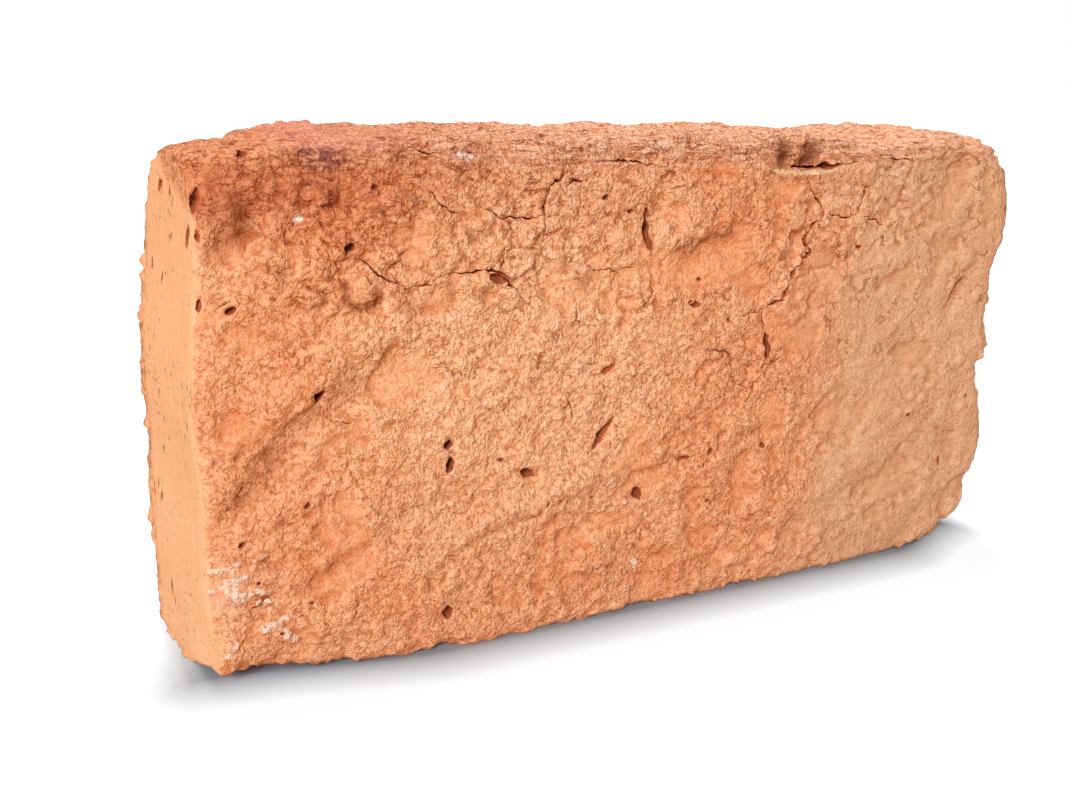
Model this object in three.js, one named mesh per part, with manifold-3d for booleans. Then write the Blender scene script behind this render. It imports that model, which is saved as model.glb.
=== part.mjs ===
// A solid hand-moulded clay brick with chopped straw in the clay, standing on a long narrow face.
// Millimetres, +Z up. The rough bed face looks along -Y and the smooth header along -X.
// The origin lies on the resting face, under the middle of the brick.
// Features are placed in brick coordinates: x from the smooth header, y from the rough bed face
// and z from the resting face.

import * as THREE from 'three';
import { mergeVertices } from 'three/addons/utils/BufferGeometryUtils.js';
import { ImprovedNoise } from 'three/addons/math/ImprovedNoise.js';
import Module from 'manifold-3d';

// Driving dimensions
const LENGTH = 243; // between the two headers
const THICKNESS = 50; // between the two bed faces
const HEIGHT = 124.5; // between the two long narrow faces, upright as the brick stands

// How far each arris is worn back from each face that meets in it
const WEAR = {
  header: 1.4,
  farHeader: 6,
  front: 2.6,
  back: 5,
  top: 4,
  bottom: 3,
};

// Corners of the bed face's outline at the far header, as ellipses
const FAR_TOP_CORNER = { alongX: 22, alongZ: 20 };
const FAR_BOTTOM_CORNER = { alongX: 42, alongZ: 19 };

// Corner worn off where the smooth header, the back and the top meet
const WORN_CORNER = { alongX: 26, alongY: 25, alongZ: 42 };

// Bites out of the far header: height at the front, half-length up the edge and depth. Each one
// climbs as it crosses the thickness, and dies out where it ends
const FAR_NOTCHES = [
  { z: HEIGHT - 39, reach: 12, depth: 4.4, climb: 0.3, ends: 34 },
  { z: HEIGHT - 51, reach: 11, depth: 4.4, climb: 0.2, ends: 28 },
  { z: 55, reach: 9, depth: 5.6, climb: -0.35, ends: 46 },
  { z: 46, reach: 8, depth: 2.6, climb: -0.2, ends: 30 },
  { z: 18, reach: 12, depth: 2.4, climb: 0.2, ends: 24 },
];

// The header bellies out where the clay sagged, more at the back, and its front foot draws in
const HEADER_BELLIES = [
  { z: HEIGHT - 54, reach: 30, front: 1.9, back: 1.9 },
  { z: 34, reach: 26, front: 0, back: 1.3 },
];
const HEADER_FOOT = { z: 0, reach: 26, depth: 2.6 };

// The front foot of the brick is lifted clear of the floor beside the smooth header
const FOOT_LIFT = { alongX: 58, alongY: 27, height: 5.6 };
const FOOT_TIP = { alongX: 9, alongY: 9, height: 2.2 };

// A flake has come off the top beside the smooth header, deepest at the back
const TOP_FLAKE = { length: 17, edge: 5, front: 1.4, back: 3.4 };

// Low humps and hollows along the top face: place, half-length and height
const TOP_WAVES = [
  { x: 27, reach: 12, height: -0.5 },
  { x: 92, reach: 18, height: 0.5 },
  { x: 120, reach: 8, height: 1.3 },
  { x: LENGTH - 90, reach: 7, height: 1.5 },
  { x: LENGTH - 56, reach: 16, height: -0.4 },
  { x: LENGTH - 27, reach: 8, height: 0.9 },
];

// Hollows pressed or flaked into the rough bed face. Tilt turns the long axis up from +X, in degrees
const FRONT_HOLLOWS = [
  { x: 12, z: HEIGHT - 19.7, long: 13, short: 9, tilt: 60, depth: 2.2 },
  { x: 17.5, z: 55.5, long: 24, short: 7, tilt: 46, depth: 1.8 },
  { x: 40, z: HEIGHT - 53, long: 20, short: 6, tilt: 28, depth: 1.3 },
  { x: 116, z: HEIGHT - 16.7, long: 9, short: 5, tilt: 78, depth: 1.9 },
  { x: LENGTH - 113, z: HEIGHT - 28.7, long: 12, short: 6, tilt: 4, depth: 2 },
  { x: LENGTH - 89, z: HEIGHT - 37.7, long: 6, short: 5, tilt: 0, depth: 1.3 },
  { x: LENGTH - 98, z: HEIGHT - 61.7, long: 6, short: 4, tilt: -20, depth: 0.9 },
  { x: LENGTH - 79, z: HEIGHT - 5.7, long: 9, short: 5, tilt: 0, depth: 3.2 },
  { x: LENGTH - 26, z: HEIGHT - 8.7, long: 9, short: 7, tilt: -30, depth: 2.2 },
  { x: LENGTH - 20, z: HEIGHT - 45.7, long: 12, short: 4, tilt: 62, depth: 1.8 },
  { x: 24, z: 6.8, long: 18, short: 6, tilt: -10, depth: 1.6 },
  { x: LENGTH - 57, z: 46.8, long: 24, short: 15, tilt: 20, depth: 0.8 },
  { x: 92, z: 28, long: 36, short: 7, tilt: 17, depth: 1.1 },
];

// Ridges left on the rough bed face, given in the same way
const FRONT_RIDGES = [
  { x: 12.5, z: 64, long: 22, short: 7, tilt: 46, depth: 1.1 },
  { x: 32, z: HEIGHT - 46, long: 20, short: 7, tilt: 26, depth: 1.1 },
  { x: 112, z: 47.8, long: 34, short: 6, tilt: 22, depth: 1.1 },
  { x: 88, z: 37, long: 42, short: 6, tilt: 16, depth: 0.9 },
  { x: LENGTH - 115, z: HEIGHT - 21.7, long: 14, short: 5, tilt: 6, depth: 1.2 },
  { x: LENGTH - 83, z: 20.8, long: 30, short: 12, tilt: 14, depth: 0.8 },
  { x: LENGTH - 43, z: HEIGHT - 31.7, long: 20, short: 14, tilt: 0, depth: 0.7 },
];

// Hollows and ridges of the back bed face, which was struck off flatter
const BACK_HOLLOWS = [
  { x: 46, z: HEIGHT - 38, long: 30, short: 12, tilt: -16, depth: 1.3 },
  { x: LENGTH - 112, z: 40, long: 36, short: 10, tilt: -9, depth: 1.1 },
  { x: LENGTH - 44, z: HEIGHT - 40, long: 22, short: 13, tilt: 30, depth: 1.4 },
];
const BACK_RIDGES = [
  { x: 88, z: HEIGHT - 60, long: 44, short: 7, tilt: -12, depth: 0.9 },
  { x: LENGTH - 70, z: 30, long: 30, short: 8, tilt: -8, depth: 0.8 },
];

// Twelve of the holes where straw and husks burnt out of the clay. Length and width are those of
// the mouth, deep is how far the hole goes in, and tilt is measured as above
const FRONT_HUSK_HOLES = [
  { x: 27, z: HEIGHT - 56.2, long: 3.4, wide: 2.6, deep: 3.4, tilt: 60 },
  { x: 58.6, z: 53.3, long: 2.8, wide: 2.2, deep: 3, tilt: 80 },
  { x: 59, z: 48.3, long: 3.6, wide: 2.1, deep: 2.8, tilt: 75 },
  { x: 80.5, z: 43.3, long: 4.8, wide: 2.6, deep: 1.8, tilt: -20 },
  { x: 101.5, z: 50.8, long: 10, wide: 2.2, deep: 2.6, tilt: 48 },
  { x: LENGTH - 107, z: 41.8, long: 2.2, wide: 1.9, deep: 2.6, tilt: 0 },
  { x: 114, z: 32.8, long: 4.6, wide: 3, deep: 1.9, tilt: -15 },
  { x: 59, z: 9.8, long: 4.4, wide: 3, deep: 2.4, tilt: 90 },
  { x: LENGTH - 89.8, z: HEIGHT - 55.2, long: 8.6, wide: 2.4, deep: 3.4, tilt: 86 },
  { x: 112.4, z: HEIGHT - 22.7, long: 8.4, wide: 2.4, deep: 4.2, tilt: 98 },
];
const HEADER_HUSK_HOLES = [
  { y: THICKNESS - 6, z: HEIGHT - 54.7, long: 4.2, wide: 2.6, deep: 2.2, tilt: 70 },
  { y: THICKNESS - 7, z: 35.8, long: 5, wide: 2.8, deep: 2.2, tilt: 80 },
];

// Cleft under the top arris that a lying straw left open
const STRAW_CLEFT = { x: LENGTH - 78.5, z: HEIGHT - 8.3, long: 30, wide: 1.9, deep: 6.5, tilt: 2 };

// Lumps of the clay: spacing of the lumps, and how high they stand on each kind of face
const LUMPS = { spacing: 11, fineSpacing: 5.5, rough: 0.95, smooth: 0.14, fine: 0.55 };

// Mesh of the surface: cells along each edge, and how much finer they are near the arrises
const CELLS = { x: 54, y: 11, z: 28 };
const CROWDING = 0.32;
const HOLE_SIDES = 8;
const HOLE_RINGS = 6;
const FLATNESS = 0.004; // facets closer to one plane than this are joined

const FIRED_CLAY = new THREE.MeshStandardMaterial({ color: 0xd98a5b, roughness: 0.95, metalness: 0 });

const noise = new ImprovedNoise();

// Raised-cosine bump: 1 at the centre and 0 from the reach outwards
function bump(distance, reach) {
  const t = Math.min(Math.abs(distance) / reach, 1);
  return (1 + Math.cos(Math.PI * t)) / 2;
}

// 1 up to the face or mark and 0 once the distance from it passes the reach
function fade(distance, reach) {
  return 1 - THREE.MathUtils.smoothstep(distance, 0, reach);
}

// Elliptical bump of a hollow or ridge of a bed face
function patch(feature, x, z) {
  const angle = THREE.MathUtils.degToRad(feature.tilt);
  const dx = x - feature.x;
  const dz = z - feature.z;
  const along = (dx * Math.cos(angle) + dz * Math.sin(angle)) / feature.long;
  const across = (dz * Math.cos(angle) - dx * Math.sin(angle)) / feature.short;
  return feature.depth * bump(Math.hypot(along, across), 1);
}

function patches(features, x, z) {
  return features.reduce((sum, feature) => sum + patch(feature, x, z), 0);
}

// Two octaves of lumps, from -1 to 1
function lumps(p, seed) {
  const { spacing, fineSpacing, fine } = LUMPS;
  const broad = noise.noise(p.x / spacing, p.y / spacing + seed, p.z / spacing);
  const small = noise.noise(p.x / fineSpacing, p.y / fineSpacing - seed, p.z / fineSpacing);
  return broad + fine * small;
}

// Crowds the lines of the surface mesh towards both ends of an edge
function crowd(position, size) {
  const t = position / size;
  return size * (t - (CROWDING * Math.sin(2 * Math.PI * t)) / (2 * Math.PI));
}

// Rounds every arris: a point beyond the worn margins moves from a box corner to an ellipsoid
function wearArrises(p) {
  const kept = new THREE.Vector3(
    THREE.MathUtils.clamp(p.x, WEAR.header, LENGTH - WEAR.farHeader),
    THREE.MathUtils.clamp(p.y, WEAR.front, THICKNESS - WEAR.back),
    THREE.MathUtils.clamp(p.z, WEAR.bottom, HEIGHT - WEAR.top),
  );
  const margin = new THREE.Vector3(
    p.x > kept.x ? WEAR.farHeader : WEAR.header,
    p.y > kept.y ? WEAR.back : WEAR.front,
    p.z > kept.z ? WEAR.top : WEAR.bottom,
  );
  const out = p.clone().sub(kept).divide(margin);
  const reach = Math.max(Math.abs(out.x), Math.abs(out.y), Math.abs(out.z));
  if (reach > 0) {
    p.copy(out.multiplyScalar(reach / out.length()).multiply(margin).add(kept));
  }
}

// Bends a square corner of a two-axis outline into an elliptical one. The corner starts at the
// point given and goes the way of the two spans' signs; a share of 1 rounds it fully
function roundCorner(p, first, second, start, span, share) {
  const a = (p[first] - start[0]) / span[0];
  const b = (p[second] - start[1]) / span[1];
  if (a <= 0 || b <= 0 || share <= 0) {
    return;
  }
  const pull = 1 - share * (1 - Math.max(a, b) / Math.hypot(a, b));
  p[first] = start[0] + a * pull * span[0];
  p[second] = start[1] + b * pull * span[1];
}

function shapeOutline(p) {
  const top = FAR_TOP_CORNER;
  const bottom = FAR_BOTTOM_CORNER;
  const worn = WORN_CORNER;
  roundCorner(p, 'x', 'z', [LENGTH - top.alongX, HEIGHT - top.alongZ], [top.alongX, top.alongZ], 1);
  roundCorner(p, 'x', 'z', [LENGTH - bottom.alongX, bottom.alongZ], [bottom.alongX, -bottom.alongZ], 1);
  roundCorner(
    p, 'y', 'z',
    [THICKNESS - worn.alongY, HEIGHT - worn.alongZ], [worn.alongY, worn.alongZ],
    fade(p.x, worn.alongX),
  );
}

function shapeEnds(p) {
  const nearFarHeader = fade(LENGTH - p.x, 24);
  for (const notch of FAR_NOTCHES) {
    const middle = notch.z + notch.climb * p.y;
    p.x -= notch.depth * bump(p.z - middle, notch.reach) * fade(p.y, notch.ends) * nearFarHeader;
  }
  const nearHeader = fade(p.x, 18);
  for (const belly of HEADER_BELLIES) {
    const swell = THREE.MathUtils.lerp(belly.front, belly.back, p.y / THICKNESS);
    p.x -= swell * bump(p.z - belly.z, belly.reach) * nearHeader;
  }
  p.x += HEADER_FOOT.depth * bump(p.z - HEADER_FOOT.z, HEADER_FOOT.reach) * nearHeader * fade(p.y, 16);
}

function shapeTopAndFoot(p) {
  const nearTop = fade(HEIGHT - p.z, 20);
  for (const wave of TOP_WAVES) {
    p.z += wave.height * bump(p.x - wave.x, wave.reach) * nearTop;
  }
  const flake = THREE.MathUtils.lerp(TOP_FLAKE.front, TOP_FLAKE.back, p.y / THICKNESS);
  p.z -= flake * fade(p.x - TOP_FLAKE.length, TOP_FLAKE.edge) * nearTop;
  const nearFloor = fade(p.z, 30);
  const lift = FOOT_LIFT.height * fade(p.x, FOOT_LIFT.alongX) * fade(p.y, FOOT_LIFT.alongY);
  const tip = FOOT_TIP.height * fade(p.x, FOOT_TIP.alongX) * fade(p.y, FOOT_TIP.alongY);
  p.z += (lift - tip) * nearFloor;
}

function shapeBedFaces(p) {
  const nearFront = fade(p.y, 14);
  const nearBack = fade(THICKNESS - p.y, 14);
  const front = patches(FRONT_HOLLOWS, p.x, p.z) - patches(FRONT_RIDGES, p.x, p.z);
  const back = patches(BACK_HOLLOWS, p.x, p.z) - patches(BACK_RIDGES, p.x, p.z);
  p.y += front * nearFront - back * nearBack;
}

// Lumps stand out from every face but the smooth header, which keeps only a faint unevenness
function raiseLumps(p) {
  const height = THREE.MathUtils.lerp(LUMPS.rough, LUMPS.smooth, fade(p.x, 5));
  const q = p.clone();
  p.y += height * lumps(q, 3) * (fade(q.y, 14) - fade(THICKNESS - q.y, 14));
  p.x += height * lumps(q, 17) * (fade(q.x, 14) - fade(LENGTH - q.x, 14));
  p.z -= height * lumps(q, 29) * fade(HEIGHT - q.z, 14);
  p.z += height * lumps(q, 41) * fade(q.z, 14);
}

// The low spots of the underside have been worn to one plane, on which the brick rests
function wearToFloor(p) {
  p.z = Math.max(p.z - LUMPS.rough / 2, 0);
}

function bodyGeometry() {
  const box = new THREE.BoxGeometry(LENGTH, THICKNESS, HEIGHT, CELLS.x, CELLS.y, CELLS.z);
  box.translate(LENGTH / 2, THICKNESS / 2, HEIGHT / 2);
  const geometry = weld(box);
  const places = geometry.attributes.position;
  const p = new THREE.Vector3();
  for (let i = 0; i < places.count; i += 1) {
    p.fromBufferAttribute(places, i);
    p.set(crowd(p.x, LENGTH), crowd(p.y, THICKNESS), crowd(p.z, HEIGHT));
    wearArrises(p);
    shapeOutline(p);
    shapeEnds(p);
    shapeTopAndFoot(p);
    shapeBedFaces(p);
    raiseLumps(p);
    wearToFloor(p);
    places.setXYZ(i, p.x, p.y, p.z);
  }
  return geometry;
}

function weld(geometry) {
  geometry.deleteAttribute('normal');
  geometry.deleteAttribute('uv');
  return mergeVertices(geometry);
}

// Husk-shaped cutter, made lying along X in the face's plane and going in along +Y
function huskGeometry(hole) {
  const husk = weld(new THREE.SphereGeometry(1, HOLE_SIDES, HOLE_RINGS));
  husk.rotateZ(Math.PI / 2);
  husk.scale(hole.long / 2, hole.deep, hole.wide / 2);
  husk.rotateY(THREE.MathUtils.degToRad(-hole.tilt));
  return husk;
}

// Where a line from outside first meets the skin of the brick
function mouthOn(skin, outside, inwards) {
  return new THREE.Raycaster(outside, inwards).intersectObject(skin)[0].point;
}

const wasm = await Module();
wasm.setup();

function toSolid(geometry) {
  return new wasm.Manifold(new wasm.Mesh({
    numProp: 3,
    vertProperties: Float32Array.from(geometry.attributes.position.array),
    triVerts: Uint32Array.from(geometry.index.array),
  }));
}

function toGeometry(solid) {
  const { vertProperties, triVerts } = solid.getMesh();
  const geometry = new THREE.BufferGeometry();
  geometry.setAttribute('position', new THREE.BufferAttribute(vertProperties, 3));
  geometry.setIndex(new THREE.BufferAttribute(triVerts, 1));
  geometry.computeVertexNormals();
  return geometry;
}

// Husks and straw burn out at right angles to the face that shows them
function brickGeometry() {
  const body = bodyGeometry();
  const skin = new THREE.Mesh(body, FIRED_CLAY);
  const frontwards = new THREE.Vector3(0, 1, 0);
  const endwards = new THREE.Vector3(1, 0, 0);
  let solid = toSolid(body);
  for (const hole of [...FRONT_HUSK_HOLES, STRAW_CLEFT]) {
    const mouth = mouthOn(skin, new THREE.Vector3(hole.x, -THICKNESS, hole.z), frontwards);
    const husk = huskGeometry(hole).translate(mouth.x, mouth.y, mouth.z);
    solid = solid.subtract(toSolid(husk));
  }
  for (const hole of HEADER_HUSK_HOLES) {
    const mouth = mouthOn(skin, new THREE.Vector3(-LENGTH, hole.y, hole.z), endwards);
    const husk = huskGeometry(hole).rotateZ(-Math.PI / 2).translate(mouth.x, mouth.y, mouth.z);
    solid = solid.subtract(toSolid(husk));
  }
  return toGeometry(solid.simplify(FLATNESS)).translate(-LENGTH / 2, -THICKNESS / 2, 0);
}

const brick = new THREE.Mesh(brickGeometry(), FIRED_CLAY);
brick.name = 'brick';

const group = new THREE.Group();
group.add(brick);

export default group;
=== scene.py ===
# %% [markdown]
# # A hand-moulded clay brick
#
# The brick is one piece of clay, pressed into a wooden mould by hand, dried in the open and fired.
# The solid model that loads here already has its outline, its worn corners and its larger hollows.
# This lesson grows a clay skin on that solid: crumbs, flakes, drag marks, husk holes and cracks.

# %% Load the solid brick
import bmesh
import bpy
import math
from mathutils import Matrix, Vector, noise
from mathutils.bvhtree import BVHTree


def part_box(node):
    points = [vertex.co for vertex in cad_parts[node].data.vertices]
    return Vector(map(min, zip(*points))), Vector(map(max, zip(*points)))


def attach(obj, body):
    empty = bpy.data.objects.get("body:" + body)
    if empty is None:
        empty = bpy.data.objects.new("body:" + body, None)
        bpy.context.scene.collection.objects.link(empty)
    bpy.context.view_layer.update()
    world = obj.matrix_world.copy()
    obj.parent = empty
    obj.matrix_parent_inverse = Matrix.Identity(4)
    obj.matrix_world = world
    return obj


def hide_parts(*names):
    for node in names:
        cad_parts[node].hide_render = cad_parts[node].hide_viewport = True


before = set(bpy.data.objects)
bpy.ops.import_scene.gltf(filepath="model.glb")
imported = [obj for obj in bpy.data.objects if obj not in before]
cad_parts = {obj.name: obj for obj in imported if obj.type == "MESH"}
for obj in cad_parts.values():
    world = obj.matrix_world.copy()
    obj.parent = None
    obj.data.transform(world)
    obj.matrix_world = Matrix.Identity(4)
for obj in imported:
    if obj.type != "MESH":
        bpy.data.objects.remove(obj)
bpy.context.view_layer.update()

from types import SimpleNamespace

MM = 0.001
LENGTH = 243.0
THICKNESS = 50.0
HEIGHT = 124.5
low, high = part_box("brick")
print("solid brick from", [[round(v / MM, 1) for v in corner] for corner in (low, high)], "mm")

# %% [markdown]
# ## The camera
#
# The picture is taken from a little above and from beyond the smooth end, so that the rough bed
# face runs away to the right. A camera is placed by where it stands and by three turns. Yaw turns
# it about the upright axis, pitch tips it down and roll leans it sideways. Turning one matrix by
# each in order keeps the three angles readable, which aiming at a target would not.

# %% Place the camera
CAMERA_PLACE = Vector((-189.9, -282.5, 144.7)) * MM
YAW = math.radians(30.21)
PITCH = math.radians(15.32)
ROLL = math.radians(2.15)
LENS = 43.08

scene = bpy.context.scene


def placed(name, data):
    """A new object in the scene, with this mesh, lamp or camera as its data."""
    thing = bpy.data.objects.new(name, data)
    scene.collection.objects.link(thing)
    return thing


def having(thing, **settings):
    """The thing, once its settings have these values."""
    for name, value in settings.items():
        setattr(thing, name, value)
    return thing


camera = placed("camera", bpy.data.cameras.new("camera"))
having(camera.data, lens=LENS, sensor_width=36.0, clip_start=0.01)
turn = Matrix.Rotation(-YAW, 4, "Z") @ Matrix.Rotation(math.pi / 2 - PITCH, 4, "X")
camera.matrix_world = Matrix.Translation(CAMERA_PLACE) @ turn @ Matrix.Rotation(ROLL, 4, "Z")
scene.camera = camera
print("camera stands", [round(v, 3) for v in CAMERA_PLACE], "m from the middle of the brick's foot")

# %% [markdown]
# ## Formulas made of nodes
#
# The relief of the clay is a long formula of noises and masks. Wiring each node by hand would hide
# the formula, so this small class lets a socket be added, scaled and compared like a number. The
# same class writes Geometry Nodes fields and shader nodes, because both use the same maths nodes.

# %% A socket that does arithmetic


class Wire:
    """A node's output in a tree, usable in formulas."""

    def __init__(self, tree, socket):
        self.tree = tree
        self.socket = socket

    def maths(self, operation, *others):
        return join(self.tree, "ShaderNodeMath", [self, *others], operation=operation)

    def vectors(self, operation, *others):
        return join(self.tree, "ShaderNodeVectorMath", [self, *others], operation=operation)

    def scaled(self, factor):
        return self.vectors("SCALE", factor)

    def __add__(self, other):
        return self.maths("ADD", other)

    def __sub__(self, other):
        return self.maths("SUBTRACT", other)

    def __mul__(self, other):
        return self.maths("MULTIPLY", other)

    def __truediv__(self, other):
        return self.maths("DIVIDE", other)

    def __rsub__(self, other):
        return join(self.tree, "ShaderNodeMath", [other, self], operation="SUBTRACT")

    def __radd__(self, other):
        return self + other

    def sibling(self, name):
        """Another output of the same node."""
        return Wire(self.tree, self.socket.node.outputs[name])

    def clamped(self):
        return self.maths("MAXIMUM", 0.0).maths("MINIMUM", 1.0)

    def between(self, start, end):
        """0 at start and 1 at end, with a soft passage."""
        return join(
            self.tree, "ShaderNodeMapRange", [self, start, end, 0.0, 1.0],
            interpolation_type="SMOOTHSTEP", clamp=True,
        )


def join(tree, kind, inputs, out=0, **settings):
    """Adds a node, feeds its inputs in order and returns its output as a Wire."""
    node = having(tree.nodes.new(kind), **settings)
    sockets = [s for s in node.inputs if s.enabled]
    pairs = inputs.items() if isinstance(inputs, dict) else zip(sockets, inputs)
    for place, value in pairs:
        socket = node.inputs[place] if isinstance(place, str) else place
        if isinstance(value, Wire):
            tree.links.new(value.socket, socket)
        elif value is not None:
            socket.default_value = value
    outputs = [s for s in node.outputs if s.enabled]
    return Wire(tree, outputs[out])


def bare_tree(owner):
    """The node tree of a material or a world, emptied."""
    owner.use_nodes = True
    owner.node_tree.nodes.clear()
    return owner.node_tree


def lead_out(wire, kind):
    """Ends a tree: leads the wire into a last node of this kind."""
    leave = wire.tree.nodes.new(kind)
    wire.tree.links.new(wire.socket, leave.inputs[0])


# %% [markdown]
# ## Noises that look like clay
#
# Plain cloudy noise looks soft, like dough. Fired clay that was torn off a mould has rounded lumps
# that meet in sharp valleys. Folding a noise at zero, so that its negative half is turned up, gives
# just that, and a little softness keeps some of the valleys shallow.

# %% Cloudy noise, folded noise, cells and strokes
EVEN = (1.0, 1.0, 1.0)
MIDDLE = (0.5, 0.5, 0.5)


def shrunk(place, size, stretch, start):
    """The place in steps of the given size in mm, stretched along x, y and z, from a new start."""
    steps = place.vectors("MULTIPLY", tuple(1.0 / (size * s) for s in stretch))
    return steps.vectors("ADD", start)


def mottle(place, size, detail=2.0, rough=0.5, seed=0.0, stretch=EVEN):
    """Cloudy noise about zero, from about -0.35 to 0.35, with blots of the given size in mm."""
    at = shrunk(place, size, stretch, (seed, seed * 1.7, -seed))
    inputs = {"Vector": at, "Scale": 1.0, "Detail": detail, "Roughness": rough}
    return join(place.tree, "ShaderNodeTexNoise", inputs) - 0.5


def folds(place, size, seed=0.0, soft=0.03, stretch=EVEN):
    """Rounded lumps with sharp valleys, from 0 to about 0.6, of the given size in mm."""
    cloud = mottle(place, size, 0, 0.5, seed, stretch)
    return ((cloud * cloud + soft * soft).maths("POWER", 0.5) - soft) * 2.0


def stirred(place, size, amount, seed=0.0):
    """The place pushed about by up to the given amount in mm, so that patterns look natural."""
    at = place.scaled(1.0 / size).vectors("ADD", (seed, -seed, seed))
    inputs = {"Vector": at, "Scale": 1.0, "Detail": 1.0}
    push = join(place.tree, "ShaderNodeTexNoise", inputs, 1).vectors("SUBTRACT", MIDDLE)
    return place.vectors("ADD", push.scaled(2.0 * amount))


def cells(place, size, seed, stretch=EVEN):
    """Distance to the nearest of many scattered points and a random number for its cell."""
    inputs = {"Vector": shrunk(place, size, stretch, (seed, -seed, seed * 0.6)), "Scale": 1.0}
    away = join(place.tree, "ShaderNodeTexVoronoi", inputs, feature="F1")
    return away, parts_of(away.sibling("Color"))[0]


def cell_rims(place, size, seed):
    """Distance to the nearest rim between the same cells, in cell sizes."""
    inputs = {"Vector": shrunk(place, size, EVEN, (seed, -seed, seed * 0.6)), "Scale": 1.0}
    return join(place.tree, "ShaderNodeTexVoronoi", inputs, feature="DISTANCE_TO_EDGE")


def pebbles(place, size, seed):
    """Round grains packed side by side, each of its own height, from 0 to 1."""
    near, own = cells(place, size, seed)
    return (1.0 - near * near * 1.6).maths("MAXIMUM", 0.0) * (own * 0.75 + 0.25)


def parts_of(vector):
    """The vector's parts along x, y and z."""
    first = join(vector.tree, "ShaderNodeSeparateXYZ", [vector])
    return [first, first.sibling("Y"), first.sibling("Z")]


def spot_mm(x, z):
    """A spot of the bed face, flattened to y = 0, in millimetres of the brick's frame."""
    return Vector((x - LENGTH / 2, 0.0, z))


def off_stroke(place, points):
    """Distance in mm, seen from the front, from a stroke drawn through the points."""
    flat = place.vectors("MULTIPLY", (1.0, 0.0, 1.0))
    nearest = None
    for start, end in zip(points, points[1:]):
        foot = spot_mm(*start)
        span = spot_mm(*end) - foot
        out = flat.vectors("SUBTRACT", tuple(foot))
        share = (out.vectors("DOT_PRODUCT", tuple(span)) / span.length_squared).clamped()
        along = join(place.tree, "ShaderNodeVectorMath", [tuple(span), share], operation="SCALE")
        away = out.vectors("SUBTRACT", along).vectors("LENGTH")
        nearest = away if nearest is None else nearest.maths("MINIMUM", away)
    return nearest


def turned(place, degrees):
    """The place turned within the bed face, about the line that looks straight into it."""
    inputs = [place, None, (0.0, 1.0, 0.0), math.radians(degrees)]
    return join(place.tree, "ShaderNodeVectorRotate", inputs, rotation_type="AXIS_ANGLE")


def blot(place, x, z, wide, high, tilt=0.0):
    """1 in the middle of an oval of the bed face and 0 at its rim; tilt is in degrees."""
    out = place.vectors("SUBTRACT", tuple(spot_mm(x, z)))
    if tilt:
        out = turned(out, tilt)
    away = out.vectors("MULTIPLY", (1.0 / wide, 0.0, 1.0 / high)).vectors("LENGTH")
    return away.between(1, 0)


def most(wires):
    """The greatest of several wires."""
    first = wires[0]
    for wire in wires[1:]:
        first = first.maths("MAXIMUM", wire)
    return first


# %% [markdown]
# ## Where each face of the brick is
#
# The rough bed face, the smooth header, the long top and the rest are finished differently. A mask
# for each is worked out from place and normal, so that the same lines serve the relief and the
# colour.

# %% Masks of the faces
# along, up, half-width, half-height and tilt, in millimetres and degrees
SMOOTH_SPOTS = [
    (9, 62, 8, 12, 30), (12, 82, 11, 7, 20), (12, 103, 9, 9, 0), (119, 105, 9, 13, -10),
    (131, 93, 13, 8, 0), (68, 88, 5, 5, 0), (130, 63, 9, 5, 10), (118, 36, 18, 4, 16),
    (34, 24, 16, 6, 20), (220, 111, 7, 6, 0), (156, 120, 5, 4, 0), (150, 60, 6, 6, 0),
    (104, 83, 8, 5, 0), (172, 88, 10, 8, 0),
]
# where the clay cracked into flat plates
PLATED = [
    (34, 100, 34, 24, 0), (78, 100, 30, 22, -10), (168, 96, 26, 22, 0), (112, 86, 18, 12, 0),
    (146, 64, 18, 14, 0), (196, 104, 22, 16, 0),
]
# the last mask holds the streaks of painted shade
KEPT_MASKS = ("header", "calm", "crust", "plated", "lime", "straw", "dusk")
# depths below the surroundings, and the steps of blur that tell how wide those are
DEPTHS = {"cranny": 5, "hollow": 60}


def plain_masks(place, normal):
    """The place along, into and up the brick, and masks from 0 to 1 of its front and its top."""
    x, y, z = parts_of(place)
    front = (parts_of(normal)[1] * -1).between(0.1, 0.5)
    top = z.between(HEIGHT - 9, HEIGHT - 3)
    return SimpleNamespace(x=x + LENGTH / 2, y=y, z=z, front=front, top=top)


def face_masks(place, normal):
    """The plain masks, and those of the header, the calm end, the crust and the flat plates."""
    face = plain_masks(place, normal)
    worn = face.z - face.y * 0.31 + mottle(place, 7, 2, 0.6, 27) * 7
    header = (parts_of(normal)[0] * -1).between(0.62, 0.86) * face.x.between(7, 3.5)
    face.header = header * worn.between(HEIGHT - 5, HEIGHT - 9)
    far = face.x + mottle(place, 24, seed=4) * 50
    face.calm = far.between(156, 186) * face.front
    torn = stirred(stirred(place, 14, 6, 9), 4, 2, 5)
    spots = most([blot(torn, *spot) for spot in SMOOTH_SPOTS]) * face.front
    cloud = mottle(place, 15, 3, 0.6, 3) * 1.4 + 0.12
    cloud = cloud - spots * 0.34 - face.calm * 0.04
    cloud = cloud + face.z.between(98, 112) * face.x.between(110, 70) * 0.12
    face.crust = cloud.between(-0.06, 0.08)
    face.plated = most([blot(place, *patch) for patch in PLATED]) * face.front
    return face


def add_strokes(face, place):
    """Adds the listed strokes: closeness to lime and to the straw, and streaks of painted shade."""
    bent = stirred(place, 2.4, 0.7, 3)
    near = [off_stroke(bent, points).between(wide * 1.1, wide * 0.25) for wide, *points in LIME]
    face.lime = most(near) * face.front
    face.straw = (2 - off_stroke(place, STRAW)).maths("MAXIMUM", 0) * face.front
    dusk = [off_stroke(bent, points).between(wide, 0) * deep for wide, deep, *points in PAINTED_SHADE_STROKES]
    face.dusk = most(dusk) * (face.front + face.top).clamped()


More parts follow.
